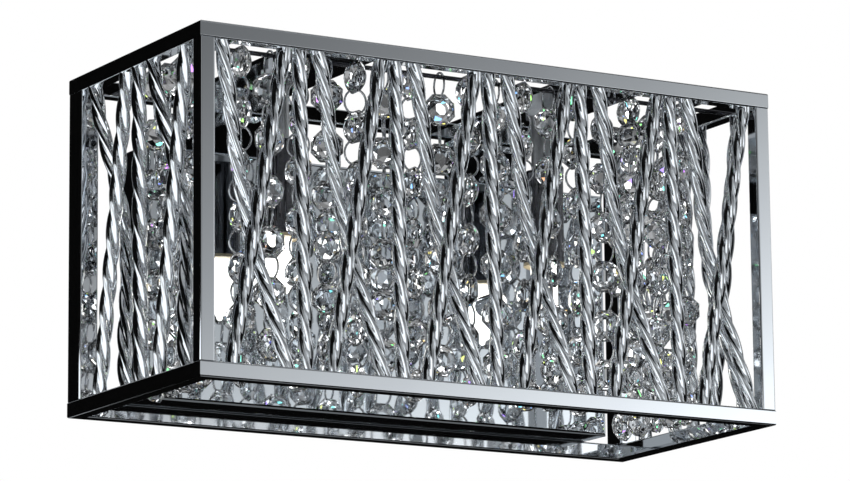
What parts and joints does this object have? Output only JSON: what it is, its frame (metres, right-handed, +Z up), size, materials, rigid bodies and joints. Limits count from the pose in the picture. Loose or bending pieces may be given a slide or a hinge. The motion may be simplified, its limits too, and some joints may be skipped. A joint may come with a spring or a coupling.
{
  "type": "vanity light",
  "caption": "Chrome box-frame vanity light with twisted rods across its front and sides, crystal strands that swing behind them, and capsule lamps in front of a polished back pan.",
  "frame": {"origin": "on the wall plane, at the middle of the wall crossbar", "axes": "+X to the viewer's right, -Y out from the wall into the room, +Z up"},
  "size_m": [0.286, 0.124, 0.15],
  "materials": {
    "frame_chrome": "polished",
    "dark_chrome": "polished dark",
    "rod_aluminium": "bright twisted",
    "crystal": "clear faceted",
    "lamp_glass": "frosted",
    "pan_mirror": "polished",
    "ceramic": "glazed ceramic",
    "steel": "zinc plated",
    "ground_green": "green zinc"
  },
  "bodies": {
    "frame": {"top_front_rail": "frame_chrome", "top_back_rail": "frame_chrome", "top_left_rail": "frame_chrome", "top_right_rail": "frame_chrome", "bottom_front_rail": "frame_chrome", "bottom_back_rail": "frame_chrome", "bottom_left_rail": "frame_chrome", "bottom_right_rail": "frame_chrome", "front_left_post": "frame_chrome", "front_right_post": "frame_chrome", "back_left_post": "frame_chrome", "back_right_post": "frame_chrome", "front_rods_right": "rod_aluminium", "front_rods_left": "rod_aluminium", "front_rods_upright": "rod_aluminium", "left_side_rods": "rod_aluminium", "right_side_rods": "rod_aluminium", "hanging_wires": "steel", "left_lamp_strap": "frame_chrome", "left_lamp_sleeve": "dark_chrome", "left_lamp_socket": "ceramic", "right_lamp_strap": "frame_chrome", "right_lamp_sleeve": "dark_chrome", "right_lamp_socket": "ceramic", "lamp_nipples": "steel", "nipple_nuts": "steel", "back_pan": "pan_mirror", "wall_crossbar": "steel", "ground_screw": "ground_green", "pan_studs": "steel", "cap_nuts": "frame_chrome"},
    "front_strand_01": {"front_strand_01": "crystal"},
    "front_strand_02": {"front_strand_02": "crystal"},
    "front_strand_03": {"front_strand_03": "crystal"},
    "front_strand_04": {"front_strand_04": "crystal"},
    "front_strand_05": {"front_strand_05": "crystal"},
    "front_strand_06": {"front_strand_06": "crystal"},
    "front_strand_07": {"front_strand_07": "crystal"},
    "front_strand_08": {"front_strand_08": "crystal"},
    "front_strand_09": {"front_strand_09": "crystal"},
    "front_strand_10": {"front_strand_10": "crystal"},
    "front_strand_11": {"front_strand_11": "crystal"},
    "front_strand_12": {"front_strand_12": "crystal"},
    "front_strand_13": {"front_strand_13": "crystal"},
    "front_strand_14": {"front_strand_14": "crystal"},
    "front_strand_15": {"front_strand_15": "crystal"},
    "front_strand_16": {"front_strand_16": "crystal"},
    "front_strand_17": {"front_strand_17": "crystal"},
    "left_strand_1": {"left_strand_1": "crystal"},
    "left_strand_2": {"left_strand_2": "crystal"},
    "left_strand_3": {"left_strand_3": "crystal"},
    "left_strand_4": {"left_strand_4": "crystal"},
    "right_strand_1": {"right_strand_1": "crystal"},
    "right_strand_2": {"right_strand_2": "crystal"},
    "right_strand_3": {"right_strand_3": "crystal"},
    "right_strand_4": {"right_strand_4": "crystal"},
    "left_bulb": {"left_bulb": "lamp_glass", "left_bulb_pins": "steel"},
    "right_bulb": {"right_bulb": "lamp_glass", "right_bulb_pins": "steel"}
  },
  "joints": [
    {"name": "front_strand_01_swing", "type": "hinge", "parent": "frame", "child": "front_strand_01", "pos_m": [-0.1117, -0.1002, 0.082], "axis": [1, 0, 0], "range_deg": [-1, 4]},
    {"name": "front_strand_02_swing", "type": "hinge", "parent": "frame", "child": "front_strand_02", "pos_m": [-0.09774, -0.1002, 0.082], "axis": [1, 0, 0], "range_deg": [-1, 4]},
    {"name": "front_strand_03_swing", "type": "hinge", "parent": "frame", "child": "front_strand_03", "pos_m": [-0.08378, -0.1002, 0.082], "axis": [1, 0, 0], "range_deg": [-1, 6]},
    {"name": "front_strand_04_swing", "type": "hinge", "parent": "frame", "child": "front_strand_04", "pos_m": [-0.06981, -0.1002, 0.082], "axis": [1, 0, 0], "range_deg": [-1, 6]},
    {"name": "front_strand_05_swing", "type": "hinge", "parent": "frame", "child": "front_strand_05", "pos_m": [-0.05585, -0.1002, 0.082], "axis": [1, 0, 0], "range_deg": [-1, 6]},
    {"name": "front_strand_06_swing", "type": "hinge", "parent": "frame", "child": "front_strand_06", "pos_m": [-0.04189, -0.1002, 0.082], "axis": [1, 0, 0], "range_deg": [-1, 6]},
    {"name": "front_strand_07_swing", "type": "hinge", "parent": "frame", "child": "front_strand_07", "pos_m": [-0.02792, -0.1002, 0.082], "axis": [1, 0, 0], "range_deg": [-1, 6]},
    {"name": "front_strand_08_swing", "type": "hinge", "parent": "frame", "child": "front_strand_08", "pos_m": [-0.01396, -0.1002, 0.082], "axis": [1, 0, 0], "range_deg": [-1, 6]},
    {"name": "front_strand_09_swing", "type": "hinge", "parent": "frame", "child": "front_strand_09", "pos_m": [0, -0.1002, 0.082], "axis": [1, 0, 0], "range_deg": [-1, 6]},
    {"name": "front_strand_10_swing", "type": "hinge", "parent": "frame", "child": "front_strand_10", "pos_m": [0.01396, -0.1002, 0.082], "axis": [1, 0, 0], "range_deg": [-1, 6]},
    {"name": "front_strand_11_swing", "type": "hinge", "parent": "frame", "child": "front_strand_11", "pos_m": [0.02792, -0.1002, 0.082], "axis": [1, 0, 0], "range_deg": [-1, 6]},
    {"name": "front_strand_12_swing", "type": "hinge", "parent": "frame", "child": "front_strand_12", "pos_m": [0.04189, -0.1002, 0.082], "axis": [1, 0, 0], "range_deg": [-1, 6]},
    {"name": "front_strand_13_swing", "type": "hinge", "parent": "frame", "child": "front_strand_13", "pos_m": [0.05585, -0.1002, 0.082], "axis": [1, 0, 0], "range_deg": [-1, 6]},
    {"name": "front_strand_14_swing", "type": "hinge", "parent": "frame", "child": "front_strand_14", "pos_m": [0.06981, -0.1002, 0.082], "axis": [1, 0, 0], "range_deg": [-1, 6]},
    {"name": "front_strand_15_swing", "type": "hinge", "parent": "frame", "child": "front_strand_15", "pos_m": [0.08378, -0.1002, 0.082], "axis": [1, 0, 0], "range_deg": [-1, 6]},
    {"name": "front_strand_16_swing", "type": "hinge", "parent": "frame", "child": "front_strand_16", "pos_m": [0.09774, -0.1002, 0.082], "axis": [1, 0, 0], "range_deg": [-1, 4]},
    {"name": "front_strand_17_swing", "type": "hinge", "parent": "frame", "child": "front_strand_17", "pos_m": [0.1117, -0.1002, 0.082], "axis": [1, 0, 0], "range_deg": [-1, 4]},
    {"name": "left_strand_1_swing", "type": "hinge", "parent": "frame", "child": "left_strand_1", "pos_m": [-0.1192, -0.037, 0.0843], "axis": [0, -1, 0], "range_deg": [-1, 6]},
    {"name": "left_strand_2_swing", "type": "hinge", "parent": "frame", "child": "left_strand_2", "pos_m": [-0.1192, -0.0503, 0.0843], "axis": [0, -1, 0], "range_deg": [-1, 6]},
    {"name": "left_strand_3_swing", "type": "hinge", "parent": "frame", "child": "left_strand_3", "pos_m": [-0.1192, -0.0636, 0.0843], "axis": [0, -1, 0], "range_deg": [-1, 6]},
    {"name": "left_strand_4_swing", "type": "hinge", "parent": "frame", "child": "left_strand_4", "pos_m": [-0.1192, -0.0769, 0.0843], "axis": [0, -1, 0], "range_deg": [-1, 6]},
    {"name": "right_strand_1_swing", "type": "hinge", "parent": "frame", "child": "right_strand_1", "pos_m": [0.1192, -0.037, 0.0843], "axis": [0, 1, 0], "range_deg": [-1, 6]},
    {"name": "right_strand_2_swing", "type": "hinge", "parent": "frame", "child": "right_strand_2", "pos_m": [0.1192, -0.0503, 0.0843], "axis": [0, 1, 0], "range_deg": [-1, 6]},
    {"name": "right_strand_3_swing", "type": "hinge", "parent": "frame", "child": "right_strand_3", "pos_m": [0.1192, -0.0636, 0.0843], "axis": [0, 1, 0], "range_deg": [-1, 6]},
    {"name": "right_strand_4_swing", "type": "hinge", "parent": "frame", "child": "right_strand_4", "pos_m": [0.1192, -0.0769, 0.0843], "axis": [0, 1, 0], "range_deg": [-1, 6]},
    {"name": "left_bulb_pull", "type": "slide", "parent": "frame", "child": "left_bulb", "axis": [0, 0, -1], "range_m": [0, 0.018]},
    {"name": "right_bulb_pull", "type": "slide", "parent": "frame", "child": "right_bulb", "axis": [0, 0, -1], "range_m": [0, 0.018]}
  ]
}
